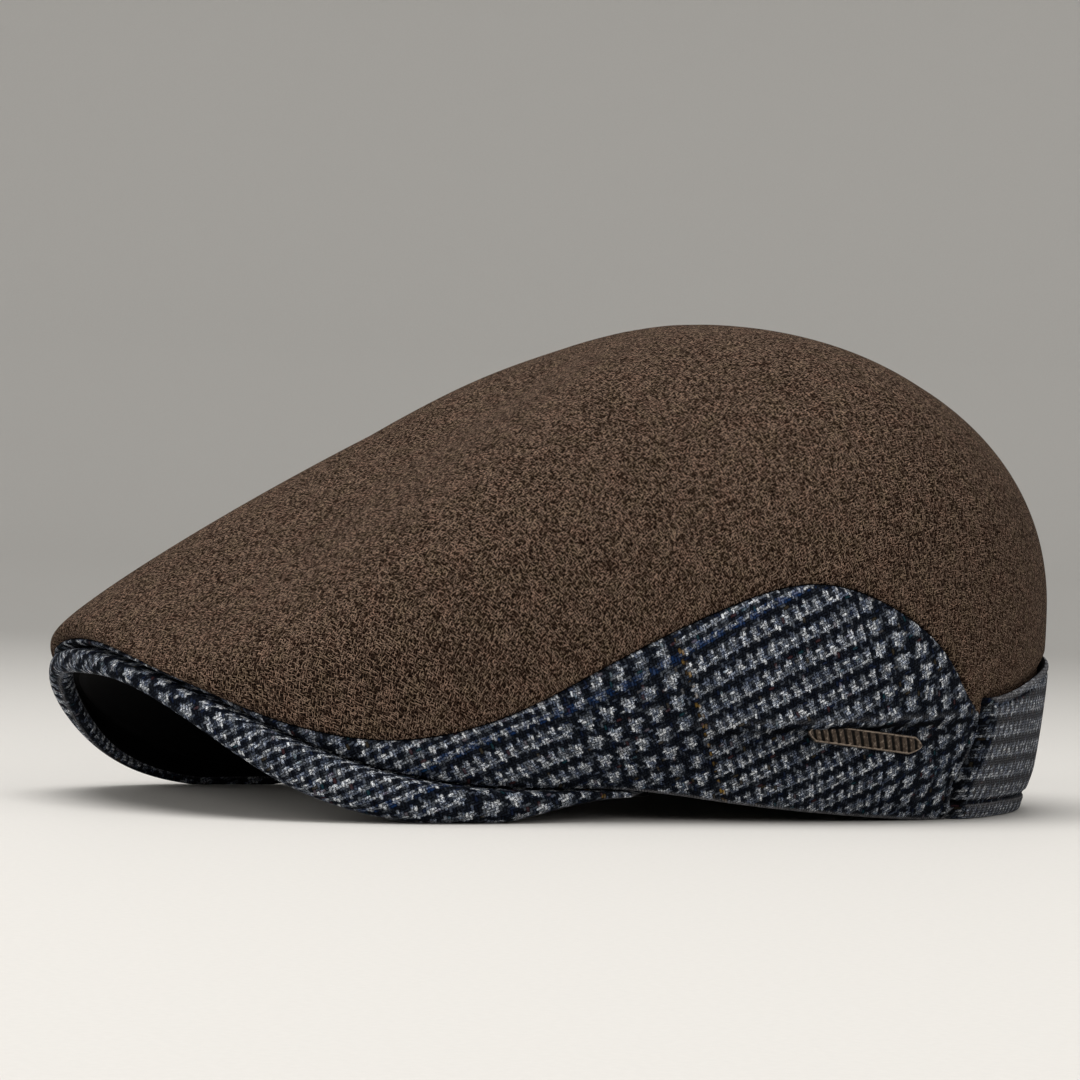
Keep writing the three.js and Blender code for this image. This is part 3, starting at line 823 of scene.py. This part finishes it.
def back_band():
    """The turned-up band, whose ends run in behind the side panels."""
    columns, rows = 190, 60
    azimuths = np.linspace(BAND_TUCK, 360 - BAND_TUCK, columns + 1)
    high = run_at(azimuths, band_height(wrapped(azimuths)))
    runs = high * eased(rows)[:, None]
    azimuths = np.broadcast_to(azimuths, runs.shape)
    bottom, top, left, right = edge_distances(azimuths, runs)
    ends = np.minimum(left, right)
    share = np.minimum.reduce((rounded(bottom, 1.2), rounded(top, 1.2), rounded(ends, 1.0)))
    heights = surface(azimuths, runs)[..., 2]
    side = 180 - np.abs(180 - azimuths)
    start = np.interp(heights, *zip(*BAND_FRONT))
    tuck = 1 - smoothstep(side, start - 1.8, start + 1.4)
    drawn_in = BAND_DRAWN_IN * (1 - smoothstep(heights, 0, 13)) * smoothstep(side, 124, 140)
    stitched = valley(bottom - FOOT_STITCHES, 0.95, 0.75) + valley(top - TOP_STITCHES, 0.5, 0.6)
    inset = stitched + TUCK_DEPTH * tuck + drawn_in
    skins = body_cloth(azimuths, runs, BAND_STAND_OFF, BAND_THICKNESS, inset, share)
    cloth_map = cloth_place(wrapped(azimuths), runs)
    cloth_map[..., 0] = np.where(azimuths > 180, cloth_map[..., 0] + ring_length[-1], cloth_map[..., 0])
    laid = cloth_map - np.array((round_the_bulge(NOTCH), 0))
    cloth_map = np.stack((
        laid[..., 0] * math.cos(BAND_TURN) - laid[..., 1] * math.sin(BAND_TURN),
        laid[..., 0] * math.sin(BAND_TURN) + laid[..., 1] * math.cos(BAND_TURN),
    ), -1)
    near_panel = 1 - smoothstep(side, start + 0.4, start + 2.6)
    # painted light all over the band, painted highlight along its edges, and painted shade in its rows of
    # stitches and, deepest, where it comes out from behind a side panel
    painted_light_and_wear = BAND_PAINTED_LIGHT + 0.4 * valley(bottom - 4.0, 1, 0.45) + 0.5 * valley(top - 0.4, 1, 0.7)
    painted_light_and_wear = painted_light_and_wear - 0.6 * valley(bottom - FOOT_STITCHES, 1, 0.5) - 0.35 * valley(top - TOP_STITCHES, 1, 0.5)
    painted_light_and_wear = painted_light_and_wear - 0.85 * near_panel
    return cloth_wall(
        "back_band_tweed", skins, cloth_map, painted_light_and_wear, (GREY_TWEED, BLACK_COTTON), "grey_tweed", "back_band",
    )


# ---- peak ----
HEAD_CENTRE_Y = 29.75     # the head opening is an ellipse, and its front part is the peak's back edge
HEAD_HALF_LENGTH = 101.0
HEAD_HALF_WIDTH = 79.0
HEAD_TIP = 68.0          # where on the head's outline the peak's tips end
ARCH_TOP = 46.0          # height of the back edge in the middle
ARCH_DROP = 39.0         # what it loses at the tips
ROLL_INSET = 3.5         # from the rim in to where the roll ends and the board begins
LINING_INSET = 5.2       # from the rim in to where the black facing begins
GAP = 0.4
ROLL_CLOTH_SHIFT = (30.0, 22.0)   # the roll was cut from a part of the cloth with a finer check


def opening_edge(azimuth):
    """The peak's back edge, an arc of the head opening that arches over the forehead."""
    turn = np.radians(azimuth * HEAD_TIP / PEAK_END)
    x = HEAD_HALF_WIDTH * np.sin(turn)
    y = HEAD_CENTRE_Y - HEAD_HALF_LENGTH * np.cos(turn)
    tip = HEAD_HALF_WIDTH * math.sin(math.radians(HEAD_TIP))
    return np.stack((x, y, ARCH_TOP - ARCH_DROP * (x / tip) ** 2), -1)


def peak_parts(azimuths):
    """The rim, its level outward direction, and the roll's overhang, top and bottom at each azimuth."""
    level = np.zeros(azimuths.shape)
    rim = surface(azimuths, level)
    overhang = edge_overhang(azimuths)
    top = rim[:, 2] - GAP
    bottom = np.maximum(edge_underside(azimuths), 0)
    return rim, outward(azimuths, level), overhang, top, bottom


def peak_section(azimuths):
    """Control points round the peak's section: out over the board, round the roll and back."""
    rim, out, overhang, top, bottom = peak_parts(azimuths)
    depth = top - bottom
    board = np.minimum(BOARD, np.maximum(1.2, depth))
    roll = np.minimum(4, np.maximum(1.2, depth))

    def at(distance, height):
        """Points out from the rim, at a height."""
        point = rim + out * np.broadcast_to(distance, top.shape)[:, None]
        point[:, 2] = height
        return point

    start = at(-ROLL_INSET, top)
    end = opening_edge(azimuths)
    down = np.array((0, 0, -1.0))

    def across(share, under):
        """Points on the way to the back edge, on top of the board or, at under 1, beneath it."""
        point = start + (end - start) * share
        return point + down * under * (roll[:, None] + (board - roll)[:, None] * share)

    turned_up = bottom + np.minimum(0.42 * depth, 2.8)
    inner = (LINING_INSET - ROLL_INSET) / np.linalg.norm((end - start)[:, :2], axis=-1)
    return np.stack((
        across(0.99, 0), across(0.66, 0), across(0.33, 0), at(-ROLL_INSET, top),
        at(-0.5, top - 0.02 * depth), at(0.75 * overhang, top - 0.12 * depth),
        at(overhang, top - 0.42 * depth), at(0.85 * overhang, top - 0.8 * depth), at(-0.2, bottom),
        at(-2.6, bottom + 0.06 * depth), at(-3.9, turned_up), across(inner[:, None], 1), across(0.33, 1),
        across(0.66, 1), across(0.99, 1), across(1, 0.5),
    ))


def closed_curve(points, steps):
    """A smooth closed curve through rings of control points, with a number of steps for each span."""
    count = len(points)
    rows = []
    for k in range(count):
        p0, p1, p2, p3 = (points[(k + n) % count] for n in (-1, 0, 1, 2))
        for t in np.arange(steps[k]) / steps[k]:
            rows.append(
                0.5 * (2 * p1 + (p2 - p0) * t + (2 * p0 - 5 * p1 + 4 * p2 - p3) * t * t
                       + (3 * p1 - p0 - 3 * p2 + p3) * t ** 3)
            )
    rows.append(rows[0])
    return np.stack(rows)


def peak():
    """The covered board and its rolled edge, faced with black cotton from the roll's inner edge."""
    azimuths = np.linspace(-PEAK_END, PEAK_END, 241)
    steps = (2, 2, 2, 3, 4, 5, 5, 6, 6, 5, 4, 3, 2, 2, 2, 2)
    points = closed_curve(peak_section(azimuths), steps)
    points[..., 2] = np.maximum(points[..., 2], 0)
    for tip in (0, -1):
        points[:, tip] = points[:, tip].mean(0)
    roll_top, roll_foot, roll_end = sum(steps[:4]), sum(steps[:8]), sum(steps[:10])
    down = distance_along(points, 0)
    down = down - down[roll_top]
    along = np.broadcast_to(round_the_bulge(azimuths), down.shape)
    height = RIM_HEIGHT(azimuths) - CHECK_HEIGHT - down
    cloth_map = np.stack((along, height), -1) + ROLL_CLOTH_SHIFT
    # painted highlight along the roll's foot and along the edge of the black facing
    painted_light_and_wear = 0.7 * valley(down - down[roll_foot], 1, 0.45) + 0.6 * valley(down - down[roll_end] + 0.4, 1, 0.5)
    row_material = (np.arange(len(points)) >= roll_end).astype(int)
    bm = new_cloth_mesh()
    laid_grid(bm, points[::-1], cloth_map[::-1], painted_light_and_wear[::-1], material=row_material[::-1])
    return finished(bm, "peak_tweed", (GREY_TWEED, BLACK_COTTON), "grey_tweed", "peak")


LINING_END = 50          # azimuth where the facing ends
LINING_THICKNESS = 1.0


def peak_lining():
    """The black facing under the board, from the roll to the back edge."""
    azimuths = np.linspace(-LINING_END, LINING_END, 101)
    section = peak_section(azimuths)
    under, back = section[11], section[14]
    shares = np.linspace(0, 1, 25)[:, None, None]
    top = under + (back - under) * shares
    top[..., 2] -= GAP
    up = distance_along(top, 0)
    along = distance_along(top, 1)
    edge = np.minimum.reduce((up, up[-1:] - up, along, along[:, -1:] - along))
    to_middle = np.array((0, 0, LINING_THICKNESS / 2))
    half = to_middle * rounded(edge, 0.6)[..., None]
    middle = top - to_middle
    cloth_map = np.stack((along, up), -1)
    bm = new_cloth_mesh()
    laid_grid(bm, middle + half, cloth_map)
    laid_grid(bm, middle - half, cloth_map, flip=True)
    return finished(bm, "peak_lining_cotton", (BLACK_COTTON,), "black_cotton", "peak_lining")


# ---- bar ----
BAR_AZIMUTH = 95.5
BAR_HEIGHT = 21.4
BAR_LENGTH = 35.0
BAR_WIDTH = 4.8
BAR_THICKNESS = 1.3
BAR_STAND_OFF = 1.0
BAR_POINT = 3.2       # length of each pointed end
BAR_FALL = 0.11       # slope down towards the back, in radians
RIB_PITCH = 2.4
RIB_SLANT = 0.6


def side_bar():
    """A slim bar with pointed ends, a raised rim and slanting ribs, bent to the panel."""
    columns, rows = 260, 40
    x = np.linspace(-1, 1, columns + 1)[None, :] * BAR_LENGTH / 2
    y_share = np.linspace(-1, 1, rows + 1)[:, None]
    from_end = BAR_LENGTH / 2 - np.abs(x)
    half_width = BAR_WIDTH / 2 * np.clip(from_end / BAR_POINT, 0, 1) ** 0.6
    x, y_share = np.broadcast_arrays(x, y_share)
    y = y_share * half_width
    edge = np.minimum(half_width - np.abs(y), from_end)
    slant = (x + RIB_SLANT * y) / RIB_PITCH
    rib = 0.5 + 0.5 * np.cos(2 * math.pi * slant)
    field = smoothstep(edge, 0.45, 0.75)
    raised = smoothstep(rib, 0.14, 0.45)
    relief = np.maximum(1 - field, 0.75 * raised)
    rise = BAR_THICKNESS * (0.62 + 0.38 * (1 - field) + 0.3 * field * raised)
    rise = rise * (0.55 + 0.45 * rounded(edge, 0.35))
    centre = surface(np.array(BAR_AZIMUTH), run_at(BAR_AZIMUTH, BAR_HEIGHT))
    reach = np.linalg.norm(centre[:2] - (0, AXIS_Y))
    azimuths = BAR_AZIMUTH + np.degrees((x * math.cos(BAR_FALL) + y * math.sin(BAR_FALL)) / reach)
    heights = BAR_HEIGHT - x * math.sin(BAR_FALL) + y * math.cos(BAR_FALL)
    runs = run_at(azimuths, heights)
    share = np.where(edge < 1e-6, 0, 1.0)
    level = surface(azimuths, runs)
    out = outward(azimuths, runs)
    seat = BAR_STAND_OFF - fold_depth(azimuths, BAR_HEIGHT - x * math.sin(BAR_FALL))
    face = level + out * (seat + rise * share + 0.4 * (1 - share))[..., None]
    foot = level + out * (seat + 0.4 * (1 - share))[..., None]
    cloth_map = np.stack((x, y), -1)
    bm = new_cloth_mesh()
    laid_grid(bm, face, cloth_map, painted_light_and_wear=relief)
    laid_grid(bm, foot, cloth_map, flip=True)
    return finished(bm, "side_bar_bronze", (DARK_BRONZE,), "dark_bronze", "side_bar")


crown()
side_panel(1)
side_panel(-1)
back_band()
peak()
peak_lining()
side_bar()


# ---- floor, light and camera ----
def studio():
    """A pale round floor whose far edge curves up."""
    bm = bmesh.new()
    # radius and height along the floor, in metres
    profile = [bm.verts.new((radius, 0, height)) for radius, height in (
        (0.0, 0.0), (0.5, 0.0), (2.4, 0.0), (3.0, 0.06), (3.5, 0.3), (3.85, 0.8), (4.0, 1.5), (4.0, 3.2),
    )]
    edges = [bm.edges.new(pair) for pair in zip(profile, profile[1:])]
    bmesh.ops.spin(
        bm, geom=profile + edges, cent=(0, 0, 0), axis=(0, 0, 1), angle=2 * math.pi, steps=96,
        use_merge=True,
    )
    bmesh.ops.remove_doubles(bm, verts=bm.verts, dist=1e-5)
    bmesh.ops.recalc_face_normals(bm, faces=bm.faces)
    for face in bm.faces:
        face.smooth = True
    for vertex in bm.verts:
        vertex.co.z -= 0.1 * MM
    floor = placed_mesh(bm, "studio_floor", (studio_floor(),))


def area_light(name, place, target, size, power, colour):
    """A round softbox that faces its target; sizes are in metres and the power in watts."""
    light = bpy.data.lights.new(name, "AREA")
    light.shape = "DISK"
    light.size = size
    light.energy = power
    light.color = srgb(colour)[:3]
    holder = placed(name, light)
    holder.location = place
    holder.rotation_mode = "QUATERNION"
    holder.rotation_quaternion = (Vector(target) - Vector(place)).to_track_quat("-Z", "Y")


studio()
area_light("overhead_softbox", (0.1, -0.3, 1.7), (0, 0, 0.05), 1.6, 26, "#fffcf8")
area_light("front_softbox", (0.6, -1.9, 0.9), (0, 0, 0.05), 1.2, 12, "#fffbf5")
area_light("side_softbox", (2.0, 0.3, 0.9), (0, 0, 0.05), 1.2, 12, "#fffbf5")

world = bpy.data.worlds.new("soft_sky")
world.use_nodes = True
sky = world.node_tree.nodes["Background"]
sky.inputs[0].default_value = srgb("#f4f2ee")
sky.inputs[1].default_value = 0.5
bpy.context.scene.world = world
bpy.context.scene.view_settings.view_transform = "Standard"

# The camera stands to the front left of the cap, a little above what it rests on, and looks level.
CAMERA_AZIMUTH = math.radians(66.165)
CAMERA_RISE = math.radians(-0.407)
CAMERA_ROLL = math.radians(1.347)
CAMERA_DISTANCE = 1100.0
CAMERA_LENS = 136.8
TARGET_ACROSS, TARGET_BACK, TARGET_HEIGHT = 0.218, -8.37, 70.21

back = Vector((
    math.sin(CAMERA_AZIMUTH) * math.cos(CAMERA_RISE),
    -math.cos(CAMERA_AZIMUTH) * math.cos(CAMERA_RISE),
    math.sin(CAMERA_RISE),
))
right = Vector((math.cos(CAMERA_AZIMUTH), math.sin(CAMERA_AZIMUTH), 0))
above = back.cross(right)
target = right * TARGET_ACROSS + Vector((0, TARGET_BACK, TARGET_HEIGHT))
rolled_right = right * math.cos(CAMERA_ROLL) + above * math.sin(CAMERA_ROLL)
rolled_up = above * math.cos(CAMERA_ROLL) - right * math.sin(CAMERA_ROLL)
lens = bpy.data.cameras.new("camera")
lens.lens = CAMERA_LENS
lens.sensor_width = 36
lens.clip_start, lens.clip_end = 0.05, 20
camera = placed("camera", lens)
turn = Matrix((rolled_right, rolled_up, back)).transposed().to_4x4()
camera.matrix_world = Matrix.Translation((target + back * CAMERA_DISTANCE) * MM) @ turn
bpy.context.scene.camera = camera
